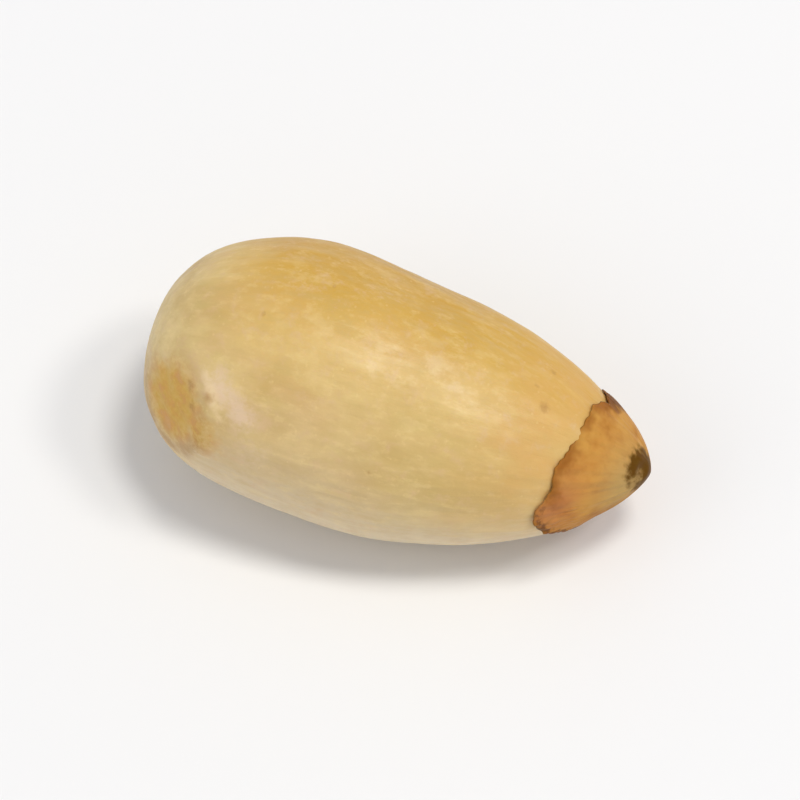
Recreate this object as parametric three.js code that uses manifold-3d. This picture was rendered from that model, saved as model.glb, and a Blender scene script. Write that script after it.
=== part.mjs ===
// A shelled pine nut kernel lying on its side, in millimetres, +Z up.
// The kernel is one ivory teardrop: a broad round end with a shallow scar, and a narrower tip.
// A remnant of the thin brown seed skin still covers the tip like a small cup. Its edge is torn,
// and it ends in a dark point.

import * as THREE from "three";
import { mergeVertices } from "three/addons/utils/BufferGeometryUtils.js";
import Module from "manifold-3d";

const { clamp, degToRad, smoothstep } = THREE.MathUtils;

// Outer form. Distances along the nut start at the round end, and angles round it start at +Y
// and rise towards +Z.
const BODY_LENGTH = 12.3;
const BODY_RADIUS = 3.35;
const WIDEST_AT = 4.1;
const ROUND_END_POWER = 0.395;
const TIP_FULLNESS = 2.12;
const TIP_POWER = 0.67;
const WIDTH_FACTOR = 1.02;
const HEIGHT_FACTOR = 0.93;

// The tip leans a little to +Y
const LEAN = 0.16;
const LEAN_FROM = 10.4;
const LEAN_TO = 12.1;

// Lengthwise swells, too low to feel, that keep the section from being a true ellipse. Counted
// from the crest, they leave the underside a little flat.
const LOBE_COUNT = 3;
const LOBE_HEIGHT = 0.06;
const RIDGE_COUNT = 7;
const RIDGE_HEIGHT = 0.018;
const CREST_TURN = degToRad(90);

// Shallow dents: a saddle on the +Y flank, and a flat heel on the -Y side of the round end. A
// dent's tightness is how quickly it fades round the nut.
const DENTS = [
  { depth: 0.12, at: 6.7, reach: 2.1, turn: degToRad(25), tightness: 1.6 },
  { depth: 0.26, at: 3.4, reach: 2.1, turn: degToRad(200), tightness: 3 },
];

// Scar on the round end, with a low lip on its side towards the tip
const SCAR_AT = 1.0;
const SCAR_TURN = degToRad(156);
const SCAR_HALF_LENGTH = 1.05;
const SCAR_HALF_WIDTH = 1.25;
const SCAR_DEPTH = 0.14;
const SCAR_FLOOR = 0.3;
const SCAR_RIM = 1.15;
const SCAR_LIP_HEIGHT = 0.05;
const SCAR_LIP_WIDTH = 0.3;

// Skin over the tip. Its edge lifts off the kernel as a low lip, one tear opens it on the -Y side,
// and small tears run round it as waves.
const SKIN_THICKNESS = 0.12;
const SKIN_PROUD = 0.04;
const SKIN_GAP = 0.04;
const SKIN_EDGE_AT = 10.46;
const SKIN_EDGE_SLANT = 0.48;
const SKIN_SLANT_TURN = degToRad(12);
const TEAR_DEPTH = 0.8;
const TEAR_TURN = degToRad(212);
const TEAR_TIGHTNESS = 10;
const LIP_LENGTH = 0.55;
const LIP_LIFT = 0.09;
const TEAR_WAVES = [
  { count: 3, depth: 0.04, turn: 0.6 },
  { count: 7, depth: 0.035, turn: 2.1 },
  { count: 11, depth: 0.03, turn: 4.4 },
];
const WRINKLE_COUNT = 11;
const WRINKLE_HEIGHT = 0.012;
const POINT_RADIUS = 0.45;
const POINT_HEIGHT = 0.1;

// How it lies: the tip drops until the flat rest spot is under the centre of mass. The block
// that cuts the spot is simply larger than the nut.
const TIP_DROP = degToRad(4.5);
const REST_SPOT_DEPTH = 0.05;
const REST_BLOCK = 20;

// Mesh steps. The spreads crowd the skin's rings towards its point.
const KERNEL_SIDES = 72;
const KERNEL_RINGS = 54;
const SKIN_SIDES = 72;
const SKIN_OUTER_RINGS = 16;
const SKIN_INNER_RINGS = 9;
const SKIN_RING_SPREAD = 1.35;
const SKIN_APEX_SPREAD = 1.45;
const EDGE_ROUNDNESS = 8;
const SLOPE_STEP = 1e-4;
const POLE_MARGIN = 1e-3;
const MERGE_STEP = 1e-4;

const ivory = new THREE.MeshStandardMaterial({
  color: 0xd7b67a,
  roughness: 0.45,
  metalness: 0,
});
const skinBrown = new THREE.MeshStandardMaterial({
  color: 0xb67c40,
  roughness: 0.5,
  metalness: 0,
});

function bell(x) {
  return Math.exp(-x * x);
}

// 1 at the middle turn, falling off round the nut
function nearTurn(turn, middle, tightness) {
  return Math.exp(tightness * (Math.cos(turn - middle) - 1));
}

// Radius of the plain teardrop: two halves that meet at the widest place
function bodyRadius(along) {
  if (along < WIDEST_AT) {
    const back = 1 - along / WIDEST_AT;
    return BODY_RADIUS * (1 - back ** 2) ** ROUND_END_POWER;
  }
  const ahead = Math.min((along - WIDEST_AT) / (BODY_LENGTH - WIDEST_AT), 1);
  return BODY_RADIUS * (1 - ahead ** TIP_FULLNESS) ** TIP_POWER;
}

// A point of the plain teardrop. The polar angle runs from 0 at the round end to pi at the tip.
function bodyPoint(polar, turn) {
  const along = (BODY_LENGTH * (1 - Math.cos(polar))) / 2;
  const radius = bodyRadius(along);
  const lean = LEAN * smoothstep(along, LEAN_FROM, LEAN_TO);
  return new THREE.Vector3(
    along,
    lean + radius * WIDTH_FACTOR * Math.cos(turn),
    radius * HEIGHT_FACTOR * Math.sin(turn),
  );
}

function polarAt(along) {
  return Math.acos(clamp(1 - (2 * along) / BODY_LENGTH, -1, 1));
}

function bodyNormal(polar, turn) {
  if (polar < POLE_MARGIN) {
    return new THREE.Vector3(-1, 0, 0);
  }
  if (polar > Math.PI - POLE_MARGIN) {
    return new THREE.Vector3(1, 0, 0);
  }
  const lengthwise = bodyPoint(polar + SLOPE_STEP, turn).sub(bodyPoint(polar - SLOPE_STEP, turn));
  const around = bodyPoint(polar, turn + SLOPE_STEP).sub(bodyPoint(polar, turn - SLOPE_STEP));
  return lengthwise.cross(around).negate().normalize();
}

const scarCentre = bodyPoint(polarAt(SCAR_AT), SCAR_TURN);

function scarRelief(point) {
  const ahead = point.x - scarCentre.x;
  const aside = Math.hypot(point.y - scarCentre.y, point.z - scarCentre.z);
  const reach = Math.hypot(ahead / SCAR_HALF_LENGTH, aside / SCAR_HALF_WIDTH);
  const hollow = SCAR_DEPTH * (1 - smoothstep(reach, SCAR_FLOOR, SCAR_RIM));
  const lip = bell((reach - SCAR_RIM) / SCAR_LIP_WIDTH) * smoothstep(ahead, 0, SCAR_HALF_LENGTH);
  return SCAR_LIP_HEIGHT * lip - hollow;
}

// Height of the kernel's own relief over the plain teardrop
function relief(polar, turn) {
  const point = bodyPoint(polar, turn);
  const poleFade = Math.sin(polar) ** 2;
  const lobes = LOBE_HEIGHT * Math.cos(LOBE_COUNT * (turn - CREST_TURN));
  const ridges = RIDGE_HEIGHT * Math.cos(RIDGE_COUNT * (turn - CREST_TURN));
  let height = (lobes + ridges) * poleFade + scarRelief(point);
  for (const dent of DENTS) {
    const lengthwise = bell((point.x - dent.at) / dent.reach);
    height -= dent.depth * lengthwise * nearTurn(turn, dent.turn, dent.tightness);
  }
  return height;
}

function surfacePoint(polar, turn, offset) {
  const height = relief(polar, turn) + offset;
  return bodyPoint(polar, turn).addScaledVector(bodyNormal(polar, turn), height);
}

// Where the skin ends, before its small tears: nearer to the tip on one side than on the other
function skinEdgeAt(turn) {
  const slant = SKIN_EDGE_SLANT * Math.cos(turn - SKIN_SLANT_TURN);
  return SKIN_EDGE_AT + slant + TEAR_DEPTH * nearTurn(turn, TEAR_TURN, TEAR_TIGHTNESS);
}

// 0 outside the skin's edge, 1 where the skin lies close to the kernel
function tuckedUnderSkin(along, turn) {
  const edge = skinEdgeAt(turn);
  return smoothstep(along, edge, edge + LIP_LENGTH);
}

// The kernel's own surface, drawn in under the skin to leave room for it
function kernelPoint(polar, turn) {
  const along = (BODY_LENGTH * (1 - Math.cos(polar))) / 2;
  const inset = SKIN_THICKNESS - SKIN_PROUD + SKIN_GAP;
  return surfacePoint(polar, turn, -inset * tuckedUnderSkin(along, turn));
}

function tornEdgeAt(turn) {
  let edge = skinEdgeAt(turn);
  for (const wave of TEAR_WAVES) {
    edge += wave.depth * Math.sin(wave.count * turn + wave.turn);
  }
  return edge;
}

// A point of the skin. Share runs from 0 at the apex to 1 at the torn edge, and side is 1 on the
// outer face and -1 on the inner face. The two faces meet in the edge.
function skinPoint(share, side, turn) {
  const along = BODY_LENGTH - (BODY_LENGTH - tornEdgeAt(turn)) * share ** SKIN_APEX_SPREAD;
  const middle = SKIN_PROUD - SKIN_THICKNESS / 2;
  const lift = LIP_LIFT * (1 - tuckedUnderSkin(along, turn));
  const half = (SKIN_THICKNESS / 2) * Math.sqrt(1 - share ** EDGE_ROUNDNESS);
  const wrinkle = WRINKLE_HEIGHT * Math.sin(WRINKLE_COUNT * turn) * share * (1 - share);
  const outer = side > 0 ? wrinkle : 0;
  const point = surfacePoint(polarAt(along), turn, middle + lift + side * half + outer);
  if (side > 0) {
    point.x += POINT_HEIGHT * (1 - smoothstep(bodyRadius(along), 0, POINT_RADIUS));
  }
  return point;
}

// A closed surface from a function of the polar angle and the turn, on a sphere's mesh whose
// poles lie on the X axis
function closedSurface(sides, rings, pointAt) {
  const sphere = new THREE.SphereGeometry(1, sides, rings);
  sphere.rotateZ(Math.PI / 2);
  sphere.deleteAttribute("normal");
  sphere.deleteAttribute("uv");
  const geometry = mergeVertices(sphere, MERGE_STEP);
  const places = geometry.getAttribute("position");
  const unit = new THREE.Vector3();
  for (let i = 0; i < places.count; i += 1) {
    unit.fromBufferAttribute(places, i).normalize();
    const polar = Math.acos(clamp(-unit.x, -1, 1));
    const point = pointAt(polar, Math.atan2(unit.z, unit.y));
    places.setXYZ(i, point.x, point.y, point.z);
  }
  geometry.rotateY(TIP_DROP);
  return geometry;
}

function kernelGeometry() {
  return closedSurface(KERNEL_SIDES, KERNEL_RINGS, kernelPoint);
}

// The sphere's half round the +X pole becomes the outer face, the other half the inner face
function skinGeometry() {
  const rings = SKIN_OUTER_RINGS + SKIN_INNER_RINGS;
  const edgePolar = (Math.PI * SKIN_INNER_RINGS) / rings;
  return closedSurface(SKIN_SIDES, rings, (polar, turn) => {
    if (polar > edgePolar) {
      const share = (Math.PI - polar) / (Math.PI - edgePolar);
      return skinPoint(share ** SKIN_RING_SPREAD, 1, turn);
    }
    return skinPoint(polar / edgePolar, -1, turn);
  });
}

const wasm = await Module();
wasm.setup();

function solidOf(geometry) {
  return new wasm.Manifold(
    new wasm.Mesh({
      numProp: 3,
      vertProperties: new Float32Array(geometry.getAttribute("position").array),
      triVerts: new Uint32Array(geometry.index.array),
    }),
  );
}

function geometryOf(solid) {
  const mesh = solid.getMesh();
  const geometry = new THREE.BufferGeometry();
  geometry.setAttribute("position", new THREE.BufferAttribute(mesh.vertProperties, 3));
  geometry.setIndex(new THREE.BufferAttribute(mesh.triVerts, 1));
  geometry.computeVertexNormals();
  return geometry;
}

// Cuts the small flat spot that the nut rests on
function withRestSpot(geometry) {
  geometry.computeBoundingBox();
  const level = geometry.boundingBox.min.z + REST_SPOT_DEPTH;
  const block = new THREE.BoxGeometry(REST_BLOCK, REST_BLOCK, REST_BLOCK);
  block.translate(BODY_LENGTH / 2, 0, level - REST_BLOCK / 2);
  block.deleteAttribute("normal");
  block.deleteAttribute("uv");
  const below = solidOf(mergeVertices(block, MERGE_STEP));
  return geometryOf(solidOf(geometry).subtract(below));
}

const kernel = new THREE.Mesh(withRestSpot(kernelGeometry()), ivory);
kernel.name = "kernel";

const skinCap = new THREE.Mesh(skinGeometry(), skinBrown);
skinCap.geometry.computeVertexNormals();
skinCap.name = "skin_cap";

// The nut's frame has its origin at the middle of the bottom of its box
const nut = new THREE.Group();
nut.add(kernel, skinCap);
const extent = new THREE.Box3().setFromObject(nut, true);
const middle = extent.getCenter(new THREE.Vector3());
nut.position.set(-middle.x, -middle.y, -extent.min.z);

export default nut;
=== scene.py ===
# A shelled pine nut kernel that lies on a pale floor. A torn remnant of its brown skin caps the
# tip.

import math

import bpy
import numpy as np
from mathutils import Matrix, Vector


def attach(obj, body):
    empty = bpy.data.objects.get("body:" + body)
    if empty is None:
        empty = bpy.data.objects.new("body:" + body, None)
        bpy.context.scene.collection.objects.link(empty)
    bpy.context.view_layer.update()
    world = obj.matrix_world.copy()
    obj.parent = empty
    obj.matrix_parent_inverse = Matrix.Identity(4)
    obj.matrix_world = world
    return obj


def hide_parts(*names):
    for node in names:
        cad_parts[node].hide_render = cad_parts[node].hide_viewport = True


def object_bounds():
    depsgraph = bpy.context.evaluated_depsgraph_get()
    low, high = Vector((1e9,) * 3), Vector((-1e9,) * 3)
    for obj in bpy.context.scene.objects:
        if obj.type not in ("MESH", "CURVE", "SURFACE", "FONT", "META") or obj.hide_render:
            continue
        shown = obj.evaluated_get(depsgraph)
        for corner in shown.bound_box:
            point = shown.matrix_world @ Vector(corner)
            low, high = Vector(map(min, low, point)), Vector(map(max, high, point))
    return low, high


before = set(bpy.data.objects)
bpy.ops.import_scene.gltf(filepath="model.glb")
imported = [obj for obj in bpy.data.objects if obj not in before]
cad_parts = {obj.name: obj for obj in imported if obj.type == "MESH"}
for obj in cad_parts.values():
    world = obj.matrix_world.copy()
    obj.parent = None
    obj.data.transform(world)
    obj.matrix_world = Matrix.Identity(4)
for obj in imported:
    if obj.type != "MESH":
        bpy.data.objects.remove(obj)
cad_low, cad_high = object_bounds()

MM = 0.001
TAU = 2 * math.pi

# The nut's form, in millimetres and radians, as in the part's own source. Distances along the nut
# start at the round end, and turns round it start at +Y and rise towards +Z.
BODY_LENGTH = 12.3
BODY_RADIUS = 3.35
WIDEST_AT = 4.1
ROUND_END_POWER = 0.395
TIP_FULLNESS = 2.12
TIP_POWER = 0.67
WIDTH_FACTOR = 1.02
HEIGHT_FACTOR = 0.93
LEAN = 0.16
LEAN_FROM = 10.4
LEAN_TO = 12.1
LOBE_COUNT = 3
LOBE_HEIGHT = 0.06
RIDGE_COUNT = 7
RIDGE_HEIGHT = 0.018
CREST_TURN = math.radians(90)
DENTS = (
    {"depth": 0.12, "at": 6.7, "reach": 2.1, "turn": math.radians(25), "tightness": 1.6},
    {"depth": 0.26, "at": 3.4, "reach": 2.1, "turn": math.radians(200), "tightness": 3},
)
SCAR_AT = 1.0
SCAR_TURN = math.radians(156)
SCAR_HALF_LENGTH = 1.05
SCAR_HALF_WIDTH = 1.25
SCAR_DEPTH = 0.14
SCAR_FLOOR = 0.3
SCAR_RIM = 1.15
SCAR_LIP_HEIGHT = 0.05
SCAR_LIP_WIDTH = 0.3
SKIN_THICKNESS = 0.12
SKIN_PROUD = 0.04
SKIN_GAP = 0.04
SKIN_EDGE_AT = 10.46
SKIN_EDGE_SLANT = 0.48
SKIN_SLANT_TURN = math.radians(12)
TEAR_DEPTH = 0.8
TEAR_TURN = math.radians(212)
TEAR_TIGHTNESS = 10
LIP_LENGTH = 0.55
LIP_LIFT = 0.09
TEAR_WAVES = ((3, 0.04, 0.6), (7, 0.035, 2.1), (11, 0.03, 4.4))
TIP_DROP = math.radians(4.5)
REST_SPOT_DEPTH = 0.05

# Fine relief of the kernel, in millimetres: wavelengths along and round it, and heights
SWELL = {"along": 5.0, "around": 2.4, "height": 0.02}
FACETS = {"along": 2.0, "around": 1.2, "height": 0.011}
GRAIN_COARSE = {"along": 2.8, "around": 0.6, "height": 0.005}
GRAIN_FINE = {"along": 1.3, "around": 0.22, "height": 0.0036}
SCAR_CREASE = {"along": 0.6, "around": 0.5, "height": 0.012}
SCAR_EDGE_FADE = 0.4
CREST_HEIGHT = 0.006
WAVES_PER_FIELD = 40
# How much a wave's length may differ from its field's, as factors
WAVE_SPREAD = (0.7, 1.4)
GRAIN_RADIUS = 2.4
PIT_COUNT = 110
PITS_FROM = 0.6
PITS_TO = BODY_LENGTH - 2.2
PIT_RADIUS = (0.05, 0.13)
PIT_DEPTH = (0.004, 0.014)

# A side, below, is a turn and how quickly a mark fades away from it round the nut.

# Small marks on the kernel: distance along it, turn, and radius
CRUMBS = (
    (1.44, math.radians(137), 0.17),
    (1.59, math.radians(148), 0.15),
    (2.0, math.radians(138), 0.17),
)
CRUMB_HEIGHT = 0.02
SPECKS = (
    (9.57, math.radians(94.5), 0.17),
    (9.54, math.radians(67), 0.1),
    (9.25, math.radians(84), 0.07),
    (6.1, math.radians(150), 0.07),
    (3.3, math.radians(20), 0.09),
    (7.9, math.radians(310), 0.11),
    (4.6, math.radians(262), 0.08),
)
# A pale bruise beside the scar: its two ends and its radius
BRUISE_FROM = (2.05, math.radians(130))
BRUISE_TO = (2.85, math.radians(141))
BRUISE_RADIUS = 0.4
# Painted highlight: a pale cream stroke on the scar's raised lip, where the lamps catch it
LIP_HIGHLIGHT_FROM = (1.8, math.radians(128))
LIP_HIGHLIGHT_TO = (2.35, math.radians(146))
LIP_HIGHLIGHT_RADIUS = 0.16
# How far out the scar's tan begins and ends to fade
SCAR_TAN_FADE = (0.5, 1.2)
# Patches of the tan beyond that: strengths and places
SCAR_TAILS = (
    (0.95, (1.88, math.radians(159), 0.58)),
    (0.55, (1.75, math.radians(147), 0.35)),
)
# A dull rosy patch farther along
ROSE = (3.3, math.radians(159), 0.5)
ROSE_STRENGTH = 0.5
# Painted shade, a brown band along the scar's rim: how far out it runs, its width, and its darkest
# side
CREASE_SHADE_REACH = 1.05
CREASE_SHADE_WIDTH = 0.26
CREASE_SHADE_SIDE = (math.radians(214), 2)
# Painted highlight: a broken pale streak along the upper side, where the lamps' sheen falls
SHEEN_SIDE = (math.radians(101), 60)
SHEEN_FROM = 3.6
SHEEN_TO = 9.8
SHEEN_FADE = 2
# The warmer flesh next to the skin: how far it reaches, its strength, and the side where it is weak
BLUSH_LENGTH = 3.2
BLUSH_STRENGTH = 0.8
BLUSH_WEAKENED = 0.7
BLUSH_WEAK_SIDE = (math.radians(210), 4)

# The skin up close
SKIN_WRINKLE = {"along": 1.9, "around": 0.5, "height": 0.011}
SKIN_FIBRE = {"along": 1.5, "around": 0.18, "height": 0.0024}
CRUMPLE = {"along": 0.45, "around": 0.3, "height": 0.022}
CRUMPLE_SIDE = (math.radians(184), 14)
SKIN_RIM_THINNING = 0.6
# Where folds, crumpling and thinning set in, as shares of the way from the apex to the torn edge
FOLDS_RISE = (0.1, 0.6)
CRUMPLE_RISE = (0.5, 0.9)
THINNING_RISE = (0.55, 0.95)
# The torn edge: scallops between sharp points, then ever finer random waves, then narrow splits
SCALLOPS = ((5, 0.03, 0.5), (9, 0.025, 2.6))
SCALLOP_LEVEL = 0.6
RAGGED_FIRST = 12
RAGGED_LAST = 80
RAGGED_DEPTH = 0.009
RAGGED_FALL = 1.2
SPLITS = (
    {"turn": math.radians(56), "depth": 0.16, "tightness": 400},
    {"turn": math.radians(107), "depth": 0.07, "tightness": 1200},
    {"turn": math.radians(288), "depth": 0.26, "tightness": 380},
    {"turn": math.radians(340), "depth": 0.15, "tightness": 600},
)
# How far the lip lifts round the edge, as a share of its full lift: a base and waves
CURL_BASE = 0.35
CURL_WAVES = ((2, 0.22, 0.9), (5, 0.2, 2.1), (9, 0.1, 0.3))
# A darker flap of the skin that reaches farther and lies closer to the flesh
FLAP_SIDE = (math.radians(31), 20)
FLAP_CURL = -0.3
FLAP_REACH = 0.2
FLAP_EDGE_SMOOTHED = 0.8
FLAP_FADE = (0.3, 0.8)
# The dark point: its place, its radii, the ring that rises round it, and a paler eye
POINT_PLACE = (12.1, math.radians(117))
POINT_DARK_RADIUS = 0.26
POINT_CLEAR_RADIUS = 0.728
POINT_RING = 0.24
POINT_RING_WIDTH = 0.5
POINT_DIMPLE = 0.5
POINT_HEIGHT = 0.035
POINT_EYE = (12.05, math.radians(140), 0.192)
POINT_EYE_STRENGTH = 0.7
# Tints of the skin. Fades are distances from its torn edge.
RIM_FADE = (0.02, 0.42)
RIM_STRENGTH = 0.6
RIM_DARKENED = 0.5
RIM_DARK_SIDE = (math.radians(118), 20)
RIM_CORNER_SIDE = (math.radians(62), 30)
# Partly dark marks of the torn skin, partly painted shade: the cap's lower edge
LOW_RIM_SIDE = (math.radians(196), 7)
LOW_RIM_WIDTH = 0.45
SHADE_SIDE = (math.radians(232), 6)
RED_SIDE = (math.radians(163), 7)
RED_FADE = (0.3, 1.2)
OLIVE_SIDE = (math.radians(150), 1.5)
OLIVE_RISE = (10.9, 11.9)
# How the rings of the skin's mesh crowd towards its edge and its apex
SKIN_RING_SPREAD = 1.35
SKIN_APEX_SPREAD = 1.45
EDGE_ROUNDNESS = 8

# Mesh steps
KERNEL_SIDES = 370
KERNEL_RINGS = 225
SKIN_SIDES = 420
SKIN_OUTER_RINGS = 80
SKIN_INNER_RINGS = 26
SLOPE_STEP = 1e-4
POLE_MARGIN = 1e-3

rng = np.random.default_rng(7)
RAGGED_WAVES = [(count, rng.uniform(0, TAU)) for count in range(RAGGED_FIRST, RAGGED_LAST)]


def smoothstep(x, low, high):
    t = np.clip((x - low) / (high - low), 0, 1)
    return t * t * (3 - 2 * t)


def bell(x):
    return np.exp(-x * x)


def near_turn(turn, middle, tightness):
    """1 at the middle turn, falling off round the nut."""
    return np.exp(tightness * (np.cos(turn - middle) - 1))


def body_radius(along):
    """Radius of the plain teardrop: two halves that meet at the widest place."""
    back = np.clip(1 - along / WIDEST_AT, 0, 1)
    ahead = np.clip((along - WIDEST_AT) / (BODY_LENGTH - WIDEST_AT), 0, 1)
    round_half = (1 - back**2) ** ROUND_END_POWER
    tip_half = (1 - ahead**TIP_FULLNESS) ** TIP_POWER
    return BODY_RADIUS * np.where(along < WIDEST_AT, round_half, tip_half)


def along_at(polar):
    return BODY_LENGTH * (1 - np.cos(polar)) / 2


def polar_at(along):
    return np.arccos(np.clip(1 - 2 * along / BODY_LENGTH, -1, 1))


def body_point(polar, turn):
    """Points of the plain teardrop. The polar angle is 0 at the round end and pi at the tip."""
    along = along_at(polar)
    radius = body_radius(along)
    across = LEAN * smoothstep(along, LEAN_FROM, LEAN_TO) + radius * WIDTH_FACTOR * np.cos(turn)
    return np.stack([along, across, radius * HEIGHT_FACTOR * np.sin(turn)], -1)


def body_normal(polar, turn):
    lengthwise = body_point(polar + SLOPE_STEP, turn) - body_point(polar - SLOPE_STEP, turn)
    around = body_point(polar, turn + SLOPE_STEP) - body_point(polar, turn - SLOPE_STEP)
    normal = np.cross(around, lengthwise)
    normal /= np.maximum(np.linalg.norm(normal, axis=-1, keepdims=True), 1e-12)
    normal[polar < POLE_MARGIN] = (-1, 0, 0)
    normal[polar > math.pi - POLE_MARGIN] = (1, 0, 0)
    return normal


def place_on_body(along, turn):
    return body_point(polar_at(np.array(along)), np.array(turn))


def scar_reach(point):
    """0 at the middle of the scar, SCAR_RIM at its rim."""
    centre = place_on_body(SCAR_AT, SCAR_TURN)
    ahead = point[..., 0] - centre[0]
    aside = np.hypot(point[..., 1] - centre[1], point[..., 2] - centre[2])
    return np.hypot(ahead / SCAR_HALF_LENGTH, aside / SCAR_HALF_WIDTH), ahead


def plain_relief(polar, turn):
    """Height over the plain teardrop of what the part's own source shapes."""
    point = body_point(polar, turn)
    lobes = LOBE_HEIGHT * np.cos(LOBE_COUNT * (turn - CREST_TURN))
    ridges = RIDGE_HEIGHT * np.cos(RIDGE_COUNT * (turn - CREST_TURN))
    reach, ahead = scar_reach(point)
    hollow = SCAR_DEPTH * (1 - smoothstep(reach, SCAR_FLOOR, SCAR_RIM))
    lip = bell((reach - SCAR_RIM) / SCAR_LIP_WIDTH) * smoothstep(ahead, 0, SCAR_HALF_LENGTH)
    height = (lobes + ridges) * np.sin(polar) ** 2 + SCAR_LIP_HEIGHT * lip - hollow
    for dent in DENTS:
        lengthwise = bell((point[..., 0] - dent["at"]) / dent["reach"])
        height -= dent["depth"] * lengthwise * near_turn(turn, dent["turn"], dent["tightness"])
    return height


def grain_space(polar, turn):
    """Coordinates that run straight along the nut, and don't crowd together at its round end."""
    along = along_at(polar)
    radius = np.where(along < WIDEST_AT, np.minimum(body_radius(along), GRAIN_RADIUS), GRAIN_RADIUS)
    return np.stack([along, radius * np.cos(turn), radius * np.sin(turn)], -1)


def draw_waves(along, around, height):
    """Random waves of about the given lengths along and round the nut."""
    headings = rng.normal(size=(WAVES_PER_FIELD, 3))
    headings /= np.linalg.norm(headings, axis=1, keepdims=True)
    spread = rng.uniform(*WAVE_SPREAD, (WAVES_PER_FIELD, 1))
    headings *= TAU * spread / np.array([along, around, around])
    return headings, rng.uniform(0, TAU, WAVES_PER_FIELD), height


def field(space, waves):
    """The smooth relief that the waves add up to."""
    headings, phases, height = waves
    total = sum(np.cos(space @ heading + phase) for heading, phase in zip(headings, phases))
    return height * total / math.sqrt(WAVES_PER_FIELD / 2)


swell, facets, grain_coarse, grain_fine, scar_crease, skin_wrinkle, skin_fibre, crumple = (
    draw_waves(**size)
    for size in (
        SWELL, FACETS, GRAIN_COARSE, GRAIN_FINE, SCAR_CREASE, SKIN_WRINKLE, SKIN_FIBRE, CRUMPLE
    )
)


def spot(point, along, turn, radius):
    """1 at a place on the nut, falling to 0 beyond the radius."""
    gap = np.linalg.norm(point - place_on_body(along, turn), axis=-1)
    return bell(gap / radius)


def stroke(point, start, end, radius):
    """1 along the straight line between two places on the nut."""
    first, last = place_on_body(*start), place_on_body(*end)
    line = last - first
    share = np.clip((point - first) @ line / (line @ line), 0, 1)
    gap = np.linalg.norm(point - first - share[..., None] * line, axis=-1)
    return bell(gap / radius)


def pits(point):
    depth = np.zeros(point.shape[:-1])
    for _ in range(PIT_COUNT):
        along = rng.uniform(PITS_FROM, PITS_TO)
        turn = rng.uniform(0, TAU)
        radius = rng.uniform(*PIT_RADIUS)
        depth += rng.uniform(*PIT_DEPTH) * spot(point, along, turn, radius)
    return depth


def skin_edge_at(turn):
    slant = SKIN_EDGE_SLANT * np.cos(turn - SKIN_SLANT_TURN)
    return SKIN_EDGE_AT + slant + TEAR_DEPTH * near_turn(turn, TEAR_TURN, TEAR_TIGHTNESS)


def tucked_under_skin(along, turn):
    edge = skin_edge_at(turn)
    return smoothstep(along, edge, edge + LIP_LENGTH)


def torn_edge_at(turn):
    edge = skin_edge_at(turn)
    for count, depth, phase in TEAR_WAVES:
        edge = edge + depth * np.sin(count * turn + phase)
    for count, depth, phase in SCALLOPS:
        edge = edge + depth * (SCALLOP_LEVEL - np.abs(np.sin((count * turn + phase) / 2)))
    ragged = RAGGED_DEPTH * (1 - FLAP_EDGE_SMOOTHED * near_turn(turn, *FLAP_SIDE))
    for count, phase in RAGGED_WAVES:
        depth = ragged * (RAGGED_FIRST / count) ** RAGGED_FALL
        edge = edge + depth * np.sin(count * turn + phase)
    for split in SPLITS:
        edge = edge + split["depth"] * near_turn(turn, split["turn"], split["tightness"])
    return edge - FLAP_REACH * near_turn(turn, *FLAP_SIDE)


def curl_at(turn):
    curl = CURL_BASE + FLAP_CURL * near_turn(turn, *FLAP_SIDE)
    for count, depth, phase in CURL_WAVES:
        curl = curl + depth * np.sin(count * turn + phase)
    return curl


def grain_relief(space):
    return field(space, grain_coarse) + field(space, grain_fine)


def kernel_points(polar, turn):
    plain = body_point(polar, turn)
    space = grain_space(polar, turn)
    reach, _ = scar_reach(plain)
    in_scar = 1 - smoothstep(reach, SCAR_RIM - SCAR_EDGE_FADE, SCAR_RIM)
    ends = np.sin(polar)
    relief = plain_relief(polar, turn)
    relief += field(space, swell) * ends
    relief += (field(space, facets) + grain_relief(space)) * ends * (1 - in_scar)
    relief += field(plain, scar_crease) * in_scar
    relief -= pits(plain)
    for along, at_turn, radius in CRUMBS:
        relief += CRUMB_HEIGHT * spot(plain, along, at_turn, radius)
    inset = SKIN_THICKNESS - SKIN_PROUD + SKIN_GAP
    relief -= inset * tucked_under_skin(along_at(polar), turn)
    return plain + body_normal(polar, turn) * relief[..., None]


def skin_along(share, turn):
    return BODY_LENGTH - (BODY_LENGTH - torn_edge_at(turn)) * share**SKIN_APEX_SPREAD


def skin_points(share, side, turn):
    """Share runs from 0 at the apex to 1 at the torn edge. Side is 1 outside and -1 inside."""
    along = skin_along(share, turn)
    polar = polar_at(along)
    space = grain_space(polar, turn)
    lift = LIP_LIFT * (1 - tucked_under_skin(along, turn)) * curl_at(turn)
    thickness = SKIN_THICKNESS * (1 - SKIN_RIM_THINNING * smoothstep(share, *THINNING_RISE))
    half = thickness / 2 * np.sqrt(1 - share**EDGE_ROUNDNESS)
    away_from_apex = smoothstep(share, *FOLDS_RISE)
    folds = (field(space, skin_wrinkle) + field(space, skin_fibre)) * away_from_apex
    crumpled = near_turn(turn, *CRUMPLE_SIDE) * smoothstep(share, *CRUMPLE_RISE)
    folds += np.abs(field(space, crumple)) * crumpled
    relief = plain_relief(polar, turn) + SKIN_PROUD - thickness / 2 + lift + side * half + folds
    plain = body_point(polar, turn)
    ring = np.linalg.norm(plain - place_on_body(*POINT_PLACE), axis=-1) / POINT_RING
    rise = bell((ring - 1) / POINT_RING_WIDTH) - POINT_DIMPLE * bell(ring)
    relief += np.where(side > 0, POINT_HEIGHT * rise, 0)
    return plain + body_normal(polar, turn) * relief[..., None]


def per_vertex(grid):
    """The rows of a grid in the order of the mesh's vertices, with one vertex at each pole."""
    return np.concatenate([grid[0, :1], grid[1:-1].reshape(-1, *grid.shape[2:]), grid[-1, :1]])


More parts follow.
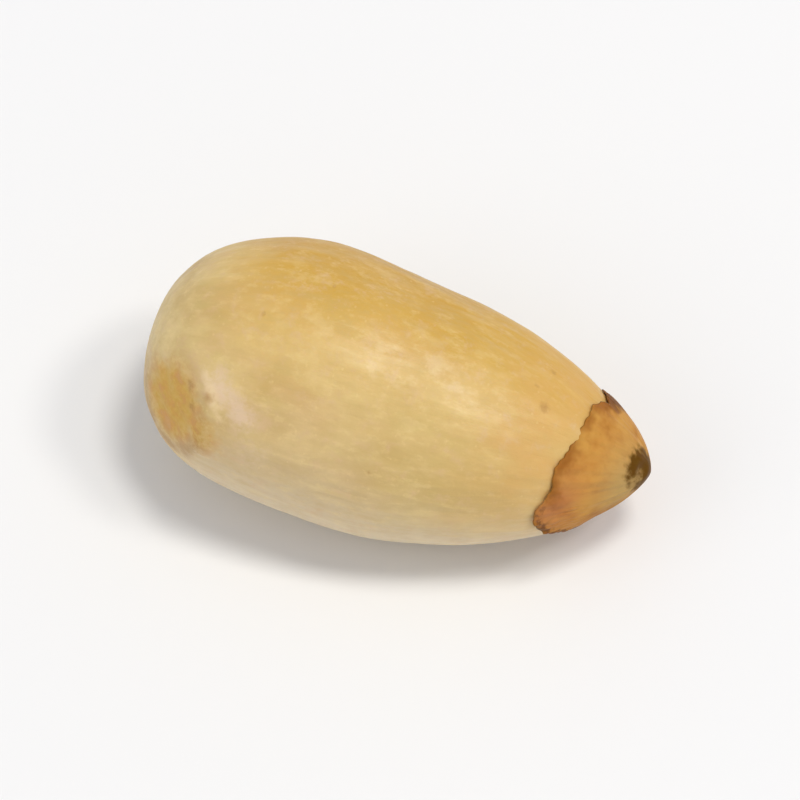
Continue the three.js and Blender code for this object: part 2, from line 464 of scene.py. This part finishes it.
def closed_surface(name, sides, polars, points_at):
    """A closed mesh in the nut's own frame, from a function of polar angle and turn."""
    turns = np.arange(sides) * TAU / sides
    polar, turn = np.meshgrid(polars, turns, indexing="ij")
    points = per_vertex(points_at(polar, turn))
    first = np.arange(sides)
    after = (first + 1) % sides
    last_ring = len(points) - 1 - sides
    faces = [(0, 1 + b, 1 + a) for a, b in zip(first, after)]
    for low in range(1, last_ring, sides):
        high = low + sides
        faces += [(a + low, b + low, b + high, a + high) for a, b in zip(first, after)]
    faces += [(a + last_ring, b + last_ring, len(points) - 1) for a, b in zip(first, after)]
    mesh = bpy.data.meshes.new(name)
    mesh.from_pydata(points.tolist(), [], [tuple(int(i) for i in face) for face in faces])
    mesh.shade_smooth()
    piece = bpy.data.objects.new(name, mesh)
    bpy.context.scene.collection.objects.link(piece)
    return piece, polar, turn


def set_mask(piece, name, grid):
    """Stores one number for each vertex, which the piece's material reads."""
    attribute = piece.data.attributes.new(name, "FLOAT", "POINT")
    attribute.data.foreach_set("value", per_vertex(grid).astype(np.float32))


def set_space(piece, name, grid):
    """Stores one vector for each vertex, in millimetres, which textures run along."""
    attribute = piece.data.attributes.new(name, "FLOAT_VECTOR", "POINT")
    attribute.data.foreach_set("vector", per_vertex(grid).astype(np.float32).ravel())


def srgb(red, green, blue):
    """A colour given as a screen shows it, from 0 to 255."""
    shares = (c / 255 for c in (red, green, blue))
    linear = [c / 12.92 if c <= 0.04045 else ((c + 0.055) / 1.055) ** 2.4 for c in shares]
    return (*linear, 1.0)


IVORY = srgb(219, 194, 136)
IVORY_PALE = srgb(236, 211, 150)
IVORY_DEEP = srgb(198, 168, 106)
IVORY_GREEN = srgb(204, 184, 122)
IVORY_ROSE = srgb(213, 179, 133)
GOLD_FLANK = srgb(209, 161, 46)
PALE_FLANK = srgb(211, 184, 140)
# Painted reflection of the bright floor on the kernel's lower edge
LOW_EDGE_REFLECTION = srgb(219, 201, 170)
# Painted shade: darker amber on the kernel's far side
FAR_SHADE_AMBER = srgb(186, 144, 80)
LOW_OLIVE = srgb(196, 168, 104)
NEAR_SKIN = srgb(216, 168, 94)
SCAR_TAN = srgb(209, 167, 73)
SCAR_ORANGE = srgb(208, 154, 82)
SCAR_DEEP = srgb(180, 136, 66)
# Painted shade along the scar's rim
CREASE_SHADE_BROWN = srgb(162, 118, 62)
BRUISE_PALE = srgb(226, 199, 170)
# Painted highlight, on the scar's lip and along the upper side
HIGHLIGHT_CREAM = srgb(234, 209, 162)
SPECK_BROWN = srgb(176, 130, 68)
SKIN_AMBER = srgb(203, 148, 70)
SKIN_DEEP = srgb(184, 124, 54)
SKIN_OLIVE = srgb(184, 154, 96)
SKIN_RED = srgb(186, 117, 72)
SKIN_RIM_BROWN = srgb(159, 99, 37)
# Dark marks and painted shade on the skin's lower edge
LOW_EDGE_MARK_AND_SHADE_BROWN = srgb(110, 70, 38)
FLAP_BROWN = srgb(116, 67, 3)
POINT_BROWN = srgb(98, 64, 3)
FLOOR_WHITE = srgb(240, 241, 243)

# What is the same all over a surface
FLESH_SOCKETS = {
    "Specular IOR Level": 0.36,
    "Subsurface Weight": 0.12,
    "Subsurface Radius": (1.0, 0.55, 0.22),
    "Subsurface Scale": 0.7 * MM,
}
SKIN_SOCKETS = {
    "Specular IOR Level": 0.1,
    "Subsurface Weight": 0.15,
    "Subsurface Radius": (1.0, 0.45, 0.15),
    "Subsurface Scale": 0.3 * MM,
}
FLOOR_SOCKETS = {"Base Color": FLOOR_WHITE, "Roughness": 0.8}

# Broad tints of the kernel: the middle turn and how quickly each fades round it, and where it
# rises and falls along the nut
TINTS = (
    {
        "name": "pale", "colour": PALE_FLANK, "strength": 0.75,
        "turn": math.radians(182), "tightness": 3, "rise": (-1, 3), "fall": (4.5, 9),
    },
    # Painted reflection: a pale band along the lower edge, for the bright floor mirrored there
    {
        "name": "low_edge_reflection", "colour": LOW_EDGE_REFLECTION, "strength": 1.0,
        "turn": math.radians(203), "tightness": 7, "rise": (0.8, 2.5), "fall": (10.2, 11.2),
    },
    {
        "name": "low_olive", "colour": LOW_OLIVE, "strength": 0.8,
        "turn": math.radians(150), "tightness": 14, "rise": (5, 7.5), "fall": (8.5, 11),
    },
    {
        "name": "gold", "colour": GOLD_FLANK, "strength": 0.95,
        "turn": math.radians(50), "tightness": 2, "rise": (0.2, 3), "fall": (12, 14),
    },
    # Painted shade: darker amber along the far side, which turns away from the lamps
    {
        "name": "far_shade", "colour": FAR_SHADE_AMBER, "strength": 0.7,
        "turn": math.radians(20), "tightness": 5, "rise": (1, 3), "fall": (6, 9),
    },
)


def add(tree, kind, inputs=None, **settings):
    """Adds a node. An input is a number, a colour, or another node's output."""
    node = tree.nodes.new("ShaderNode" + kind)
    for name, value in settings.items():
        setattr(node, name, value)
    for key, value in (inputs or {}).items():
        if isinstance(value, bpy.types.NodeSocket):
            tree.links.new(value, node.inputs[key])
        else:
            node.inputs[key].default_value = value
    return node


def mask(tree, name):
    return add(tree, "Attribute", attribute_name=name).outputs["Fac"]


def pattern_space(tree, name, stretch=1.0):
    """A vector attribute whose patterns are drawn out along the nut."""
    vector = add(tree, "Attribute", attribute_name=name).outputs["Vector"]
    scaled = add(tree, "VectorMath", {0: vector, 1: (1 / stretch, 1.0, 1.0)}, operation="MULTIPLY")
    return scaled.outputs["Vector"]


def noise(tree, vector, scale, detail=3.0, roughness=0.55):
    """Cloudy noise round 0.5, with the given number of lumps in a millimetre."""
    inputs = {"Vector": vector, "Scale": scale, "Detail": detail, "Roughness": roughness}
    return add(tree, "TexNoise", inputs).outputs["Fac"]


def ramp(tree, value, low, high, to_low=0.0, to_high=1.0):
    """Maps a value from low..high to to_low..to_high, smoothly and without passing them."""
    ends = {"Value": value, "From Min": low, "From Max": high, "To Min": to_low, "To Max": to_high}
    return add(tree, "MapRange", ends, interpolation_type="SMOOTHSTEP").outputs["Result"]


def times(tree, a, b):
    return add(tree, "Math", {0: a, 1: b}, operation="MULTIPLY").outputs["Value"]


def plus(tree, a, b):
    return add(tree, "Math", {0: a, 1: b}, operation="ADD").outputs["Value"]


# A colour mix node's sockets
MIX_SHARE, MIX_A, MIX_B, MIX_RESULT = 0, 6, 7, 2


def mix(tree, share, a, b):
    inputs = {MIX_SHARE: share, MIX_A: a, MIX_B: b}
    return add(tree, "Mix", inputs, data_type="RGBA").outputs[MIX_RESULT]


def new_material(name):
    material = bpy.data.materials.new(name)
    material.use_nodes = True
    tree = material.node_tree
    return material, tree, tree.nodes["Principled BSDF"]


def set_sockets(shader, values):
    for name, value in values.items():
        shader.inputs[name].default_value = value


def add_bump(tree, shader, height, depth, strength):
    """Fine relief in the shading. The depth is in millimetres."""
    bump = add(tree, "Bump", {"Height": height, "Distance": depth * MM, "Strength": strength})
    tree.links.new(bump.outputs["Normal"], shader.inputs["Normal"])


def specks(tree, vector, scale, radius, kept):
    """Small round dots, in the given share of the cells of a random pattern."""
    cells = add(tree, "TexVoronoi", {"Vector": vector, "Scale": scale})
    dot = ramp(tree, cells.outputs["Distance"], radius, radius * 0.5)
    chance = add(tree, "SeparateColor", {"Color": cells.outputs["Color"]}).outputs["Red"]
    chosen = add(tree, "Math", {0: chance, 1: kept}, operation="LESS_THAN").outputs["Value"]
    return times(tree, dot, chosen)


def tint(tree, colour, share, strength, other):
    """Mixes in another colour where the share is high."""
    return mix(tree, times(tree, share, strength), colour, other)


def kernel_colour(tree, grain, streak, vein):
    """Ivory flesh: broad tints, blotches a millimetre wide, fine veins that run lengthwise, and
    painted light and shade.
    """
    cloud = noise(tree, grain, scale=0.5, detail=2.0)
    green = noise(tree, pattern_space(tree, "grain", 2.0), scale=1.0, detail=3.0, roughness=0.6)
    rose = noise(tree, pattern_space(tree, "body", 2.4), scale=0.9, detail=3.0, roughness=0.6)
    mottle = noise(tree, pattern_space(tree, "grain", 1.7), scale=2.4, detail=4.0, roughness=0.65)
    fleck = noise(tree, pattern_space(tree, "grain", 2.2), scale=5.0, detail=4.0, roughness=0.7)
    colour = mix(tree, ramp(tree, cloud, 0.43, 0.67), IVORY, IVORY_DEEP)
    colour = tint(tree, colour, ramp(tree, green, 0.48, 0.66), 0.5, IVORY_GREEN)
    colour = tint(tree, colour, ramp(tree, rose, 0.48, 0.64), 0.5, IVORY_ROSE)
    for patch in TINTS:
        colour = tint(tree, colour, mask(tree, patch["name"]), patch["strength"], patch["colour"])
    for pattern, pale, deep in ((mottle, 0.2, 0.22), (fleck, 0.28, 0.22)):
        colour = tint(tree, colour, ramp(tree, pattern, 0.5, 0.7), pale, IVORY_PALE)
        colour = tint(tree, colour, ramp(tree, pattern, 0.5, 0.32), deep, IVORY_DEEP)
    colour = tint(tree, colour, ramp(tree, streak, 0.5, 0.75), 0.16, IVORY_PALE)
    colour = tint(tree, colour, ramp(tree, vein, 0.5, 0.25), 0.2, IVORY_DEEP)
    # Paler on the grain's crests, where it is rubbed, and darker in its hollows, as painted shade
    colour = tint(tree, colour, ramp(tree, mask(tree, "crest"), 0.2, 2.2), 0.12, IVORY_PALE)
    colour = tint(tree, colour, ramp(tree, mask(tree, "crest"), -0.2, -2.2), 0.16, IVORY_DEEP)
    blush = times(tree, mask(tree, "blush"), ramp(tree, rose, 0.35, 0.65, 0.5, 1.0))
    colour = mix(tree, blush, colour, NEAR_SKIN)
    # Painted highlight: a pale streak along the upper side
    painted_sheen = times(tree, mask(tree, "painted_sheen"), ramp(tree, mottle, 0.42, 0.66))
    colour = tint(tree, colour, painted_sheen, 0.45, HIGHLIGHT_CREAM)
    pale_specks = specks(tree, grain, scale=6.0, radius=0.22, kept=0.2)
    colour = tint(tree, colour, pale_specks, 0.2, IVORY_PALE)
    brown_specks = specks(tree, grain, scale=1.5, radius=0.1, kept=0.1)
    return tint(tree, colour, brown_specks, 0.35, SPECK_BROWN)


def scar_colour(tree, colour, soft, grit):
    """The scar's tan, frayed at its rim, with painted shade on the rim, a painted highlight on the
    lip, and bruised flesh beside it.
    """
    broad = ramp(tree, soft, 0.25, 0.75, -0.4, 0.4)
    fine = ramp(tree, grit, 0.25, 0.75, -0.2, 0.2)
    bruise = plus(tree, mask(tree, "bruise"), plus(tree, broad, fine))
    colour = tint(tree, colour, ramp(tree, bruise, 0.0, 1.5), 0.9, BRUISE_PALE)
    rim = times(tree, plus(tree, broad, fine), 0.6)
    scar = ramp(tree, plus(tree, mask(tree, "scar"), rim), 0.0, 1.1)
    tan = mix(tree, ramp(tree, soft, 0.4, 0.65), SCAR_TAN, SCAR_ORANGE)
    tan = tint(tree, tan, ramp(tree, grit, 0.4, 0.7), 0.2, SCAR_DEEP)
    colour = mix(tree, scar, colour, tan)
    # Painted shade: brown along the scar's rim, on the round end's shaded side
    crease_shade = ramp(tree, plus(tree, mask(tree, "crease_shade"), rim), 0.05, 1.2)
    colour = tint(tree, colour, crease_shade, 0.75, CREASE_SHADE_BROWN)
    # Painted highlight on the scar's raised lip
    lip_highlight = plus(tree, mask(tree, "lip_highlight"), plus(tree, broad, fine))
    colour = tint(tree, colour, ramp(tree, lip_highlight, 0.1, 1.4), 0.7, HIGHLIGHT_CREAM)
    marks = plus(tree, mask(tree, "marks"), fine)
    return mix(tree, ramp(tree, marks, 0.2, 1.2, 0.0, 0.7), colour, SPECK_BROWN), scar


def kernel_material():
    material, tree, shader = new_material("kernel_ivory")
    grain = pattern_space(tree, "grain")
    body = pattern_space(tree, "body")
    streak = noise(tree, pattern_space(tree, "grain", 4.5), scale=1.9, detail=4.0, roughness=0.6)
    vein = noise(tree, pattern_space(tree, "grain", 9.0), scale=7.0, detail=3.0, roughness=0.6)
    soft = noise(tree, body, scale=2.2, detail=5.0, roughness=0.6)
    grit = noise(tree, body, scale=8.0, detail=4.0, roughness=0.65)
    colour = kernel_colour(tree, grain, streak, vein)
    colour, scar = scar_colour(tree, colour, soft, grit)
    tree.links.new(colour, shader.inputs["Base Color"])

    rough = plus(tree, ramp(tree, streak, 0.3, 0.7, 0.5, 0.36), times(tree, scar, 0.12))
    tree.links.new(rough, shader.inputs["Roughness"])
    set_sockets(shader, FLESH_SOCKETS)
    scratch = noise(tree, pattern_space(tree, "grain", 7.0), scale=15.0, detail=3.0, roughness=0.6)
    height = plus(tree, times(tree, vein, 0.6), times(tree, grit, 0.4))
    height = plus(tree, height, times(tree, scratch, 0.35))
    add_bump(tree, shader, height, depth=0.02, strength=0.8)
    return material


def skin_material():
    material, tree, shader = new_material("skin_brown")
    body = pattern_space(tree, "body")
    fibre = noise(tree, pattern_space(tree, "body", 4.0), scale=4.5, detail=4.0, roughness=0.6)
    blotch = noise(tree, body, scale=1.3, detail=3.0)
    grit = noise(tree, body, scale=6.0, detail=3.0)
    colour = mix(tree, ramp(tree, blotch, 0.4, 0.68), SKIN_AMBER, SKIN_DEEP)
    colour = tint(tree, colour, ramp(tree, fibre, 0.5, 0.7), 0.4, SKIN_DEEP)
    colour = tint(tree, colour, mask(tree, "olive"), 0.85, SKIN_OLIVE)
    colour = tint(tree, colour, mask(tree, "red"), 0.75, SKIN_RED)
    fray = ramp(tree, blotch, 0.3, 0.7, -0.3, 0.3)
    rim = ramp(tree, plus(tree, mask(tree, "rim"), fray), 0.1, 1.2)
    colour = mix(tree, rim, colour, SKIN_RIM_BROWN)
    colour = tint(tree, colour, mask(tree, "shade"), 0.6, SKIN_RIM_BROWN)
    # The lower edge: dark ticks of the torn skin, and painted shade
    ticks = ramp(tree, grit, 0.35, 0.65, -0.45, 0.35)
    low_edge_marks_and_shade = ramp(tree, plus(tree, mask(tree, "low_edge_marks_and_shade"), ticks), 0.3, 0.85)
    colour = tint(tree, colour, low_edge_marks_and_shade, 0.85, LOW_EDGE_MARK_AND_SHADE_BROWN)
    flap = ramp(tree, plus(tree, mask(tree, "flap"), fray), 0.15, 0.65)
    colour = mix(tree, flap, colour, FLAP_BROWN)
    fray = ramp(tree, grit, 0.3, 0.7, -0.2, 0.2)
    point = ramp(tree, plus(tree, mask(tree, "point"), fray), 0.1, 0.85)
    colour = mix(tree, point, colour, POINT_BROWN)
    tree.links.new(colour, shader.inputs["Base Color"])

    tree.links.new(ramp(tree, fibre, 0.3, 0.7, 0.42, 0.58), shader.inputs["Roughness"])
    set_sockets(shader, SKIN_SOCKETS)
    height = plus(tree, times(tree, fibre, 0.6), times(tree, grit, 0.4))
    add_bump(tree, shader, height, depth=0.018, strength=0.7)
    return material


def make_kernel():
    polars = np.linspace(0, math.pi, KERNEL_RINGS + 1)
    piece, polar, turn = closed_surface("kernel_flesh", KERNEL_SIDES, polars, kernel_points)
    along = along_at(polar)
    plain = body_point(polar, turn)
    reach, _ = scar_reach(plain)
    to_skin = skin_edge_at(turn) - along
    marks = sum(spot(plain, *place) for place in SPECKS + CRUMBS)
    # Where along the nut the painted highlight runs
    sheen_span = smoothstep(along, SHEEN_FROM, SHEEN_FROM + SHEEN_FADE)
    sheen_span *= 1 - smoothstep(along, SHEEN_TO - SHEEN_FADE, SHEEN_TO)
    bruise = stroke(plain, BRUISE_FROM, BRUISE_TO, BRUISE_RADIUS)
    bruise += ROSE_STRENGTH * spot(plain, *ROSE)
    set_space(piece, "grain", grain_space(polar, turn))
    set_space(piece, "body", plain)
    scar = 1 - smoothstep(reach, *SCAR_TAN_FADE)
    for strength, place in SCAR_TAILS:
        scar = np.maximum(scar, strength * spot(plain, *place))
    set_mask(piece, "scar", scar)
    # Painted shade along the scar's rim, darkest on one side
    crease_shade = bell((reach - CREASE_SHADE_REACH) / CREASE_SHADE_WIDTH) * near_turn(turn, *CREASE_SHADE_SIDE)
    set_mask(piece, "crease_shade", crease_shade)
    set_mask(piece, "bruise", bruise)
    # Painted highlight on the scar's lip
    set_mask(piece, "lip_highlight", stroke(plain, LIP_HIGHLIGHT_FROM, LIP_HIGHLIGHT_TO, LIP_HIGHLIGHT_RADIUS))
    for patch in TINTS:
        lengthwise = smoothstep(along, *patch["rise"]) * (1 - smoothstep(along, *patch["fall"]))
        around = near_turn(turn, patch["turn"], patch["tightness"])
        set_mask(piece, patch["name"], lengthwise * around)
    blush = BLUSH_STRENGTH - BLUSH_WEAKENED * near_turn(turn, *BLUSH_WEAK_SIDE)
    set_mask(piece, "blush", (1 - smoothstep(to_skin, 0.0, BLUSH_LENGTH)) * blush)
    set_mask(piece, "crest", grain_relief(grain_space(polar, turn)) / CREST_HEIGHT)
    # Painted highlight along the upper side
    set_mask(piece, "painted_sheen", near_turn(turn, *SHEEN_SIDE) * sheen_span)
    set_mask(piece, "marks", np.minimum(marks, 1))
    piece.data.materials.append(kernel_material())
    return piece


def make_skin():
    edge_polar = math.pi * SKIN_INNER_RINGS / (SKIN_INNER_RINGS + SKIN_OUTER_RINGS)
    inner = np.linspace(0, edge_polar, SKIN_INNER_RINGS + 1)
    outer = np.linspace(edge_polar, math.pi, SKIN_OUTER_RINGS + 1)[1:]

    def share_and_side(polar):
        from_apex = np.clip((math.pi - polar) / (math.pi - edge_polar), 0, 1) ** SKIN_RING_SPREAD
        outside = polar > edge_polar
        share = np.where(outside, from_apex, np.clip(polar / edge_polar, 0, 1))
        return share, np.where(outside, 1.0, -1.0)

    def points_at(polar, turn):
        return skin_points(*share_and_side(polar), turn)

    rings = np.concatenate([inner, outer])
    piece, polar, turn = closed_surface("skin_remnant", SKIN_SIDES, rings, points_at)
    share, _ = share_and_side(polar)
    along = skin_along(share, turn)
    polar = polar_at(along)
    to_edge = along - torn_edge_at(turn)
    plain = body_point(polar, turn)
    darker = sum(near_turn(turn, *side) for side in (RIM_DARK_SIDE, RIM_CORNER_SIDE, CRUMPLE_SIDE))
    rim = RIM_STRENGTH + RIM_DARKENED * darker
    # Dark marks and painted shade along the lower torn edge
    low_edge_marks_and_shade = near_turn(turn, *LOW_RIM_SIDE) * (1 - smoothstep(to_edge, 0.0, LOW_RIM_WIDTH))
    point_gap = np.linalg.norm(plain - place_on_body(*POINT_PLACE), axis=-1)
    point = 1 - smoothstep(point_gap, POINT_DARK_RADIUS, POINT_CLEAR_RADIUS)
    set_space(piece, "body", plain)
    set_mask(piece, "rim", (1 - smoothstep(to_edge, *RIM_FADE)) * rim)
    set_mask(piece, "low_edge_marks_and_shade", low_edge_marks_and_shade)
    set_mask(piece, "shade", near_turn(turn, *SHADE_SIDE))
    set_mask(piece, "flap", near_turn(turn, *FLAP_SIDE) * (1 - smoothstep(to_edge, *FLAP_FADE)))
    set_mask(piece, "red", near_turn(turn, *RED_SIDE) * (1 - smoothstep(to_edge, *RED_FADE)))
    set_mask(piece, "olive", near_turn(turn, *OLIVE_SIDE) * smoothstep(along, *OLIVE_RISE))
    set_mask(piece, "point", point - POINT_EYE_STRENGTH * spot(plain, *POINT_EYE))
    piece.data.materials.append(skin_material())
    return piece


def vertices_of(piece):
    found = np.zeros(len(piece.data.vertices) * 3)
    piece.data.vertices.foreach_get("co", found)
    return found.reshape(-1, 3)


def lay_down(pieces):
    """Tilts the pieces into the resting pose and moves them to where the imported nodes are."""
    cosine, sine = math.cos(TIP_DROP), math.sin(TIP_DROP)
    turned = np.array([[cosine, 0, sine], [0, 1, 0], [-sine, 0, cosine]])
    placed = [vertices_of(piece) @ turned.T * MM for piece in pieces]
    together = np.concatenate(placed)
    low, high = together.min(0), together.max(0)
    shift = (np.array(cad_low) + np.array(cad_high)) / 2 - (low + high) / 2
    shift[2] = -(low[2] + REST_SPOT_DEPTH * MM)
    for piece, points in zip(pieces, placed):
        points = points + shift
        points[:, 2] = np.maximum(points[:, 2], 0)
        piece.data.vertices.foreach_set("co", points.ravel())
        piece.data.update()


kernel = make_kernel()
skin = make_skin()
lay_down([kernel, skin])
for piece, node, slot in ((kernel, "kernel", "kernel_ivory"), (skin, "skin_cap", "skin_brown")):
    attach(piece, "root")
    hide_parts(node)

# Stage, lights and camera. Azimuths start at -Y and rise towards +X.
TARGET = Vector((0, 0, 3.04 * MM))
FLOOR_HALF = 1.0
CAMERA_AZIMUTH = 16.2
CAMERA_ELEVATION = 60
CAMERA_DISTANCE = 0.22
CLIP_START = 0.01
SENSOR = 36.0
VIEW_WIDTH = 19.0 * MM
LIGHTS = (
    {
        "name": "key", "azimuth": 104, "elevation": 77, "distance": 0.5,
        "size": 0.13, "power": 0.95, "colour": (1.0, 0.96, 0.88),
    },
    {
        "name": "window", "azimuth": 98, "elevation": 58, "distance": 0.5,
        "size": 0.1, "power": 0.5, "colour": (1.0, 0.95, 0.86),
    },
    {
        "name": "fill", "azimuth": -50, "elevation": 40, "distance": 0.6,
        "size": 0.4, "power": 0.42, "colour": (1.0, 0.95, 0.88),
    },
)
# The sky's colours, and the heights, as shares of straight up, at which the upper two are reached
SKY_HAZE = (0.53, 0.54, 0.58, 1.0)
SKY_HORIZON = (0.76, 0.775, 0.81, 1.0)
SKY_ZENITH = (0.46, 0.472, 0.505, 1.0)
HAZE_TOP = 0.1
HORIZON_TOP = 0.6


def place_around(azimuth, elevation, distance):
    azimuth, elevation = math.radians(azimuth), math.radians(elevation)
    flat = math.cos(elevation)
    back = Vector((math.sin(azimuth) * flat, -math.cos(azimuth) * flat, math.sin(elevation)))
    return TARGET + back * distance


def aim(thing, place):
    thing.location = place
    thing.rotation_mode = "QUATERNION"
    thing.rotation_quaternion = (TARGET - place).to_track_quat("-Z", "Y")


def make_floor():
    mesh = bpy.data.meshes.new("floor")
    corners = [(-1, -1), (1, -1), (1, 1), (-1, 1)]
    mesh.from_pydata([(x * FLOOR_HALF, y * FLOOR_HALF, 0) for x, y in corners], [], [(0, 1, 2, 3)])
    floor = bpy.data.objects.new("floor", mesh)
    bpy.context.scene.collection.objects.link(floor)
    material, _, shader = new_material("floor")
    set_sockets(shader, FLOOR_SOCKETS)
    mesh.materials.append(material)


def make_light(name, azimuth, elevation, distance, size, power, colour):
    light = bpy.data.lights.new(name, "AREA")
    light.shape = "DISK"
    light.size = size
    light.energy = power
    light.color = colour
    lamp = bpy.data.objects.new(name, light)
    bpy.context.scene.collection.objects.link(lamp)
    aim(lamp, place_around(azimuth, elevation, distance))


def make_world():
    world = bpy.data.worlds.new("studio")
    world.use_nodes = True
    tree = world.node_tree
    heading = add(tree, "TexCoord").outputs["Generated"]
    height = add(tree, "SeparateXYZ", {"Vector": heading}).outputs["Z"]
    sky = mix(tree, ramp(tree, height, 0.0, HORIZON_TOP), SKY_HORIZON, SKY_ZENITH)
    sky = mix(tree, ramp(tree, height, 0.0, HAZE_TOP), SKY_HAZE, sky)
    tree.links.new(sky, tree.nodes["Background"].inputs["Color"])
    bpy.context.scene.world = world


def make_camera():
    data = bpy.data.cameras.new("camera")
    data.sensor_width = SENSOR
    data.lens = SENSOR * CAMERA_DISTANCE / VIEW_WIDTH
    data.clip_start = CLIP_START
    camera = bpy.data.objects.new("camera", data)
    bpy.context.scene.collection.objects.link(camera)
    aim(camera, place_around(CAMERA_AZIMUTH, CAMERA_ELEVATION, CAMERA_DISTANCE))
    bpy.context.scene.camera = camera


make_floor()
for lamp in LIGHTS:
    make_light(**lamp)
make_world()
make_camera()
bpy.context.scene.view_settings.view_transform = "Standard"
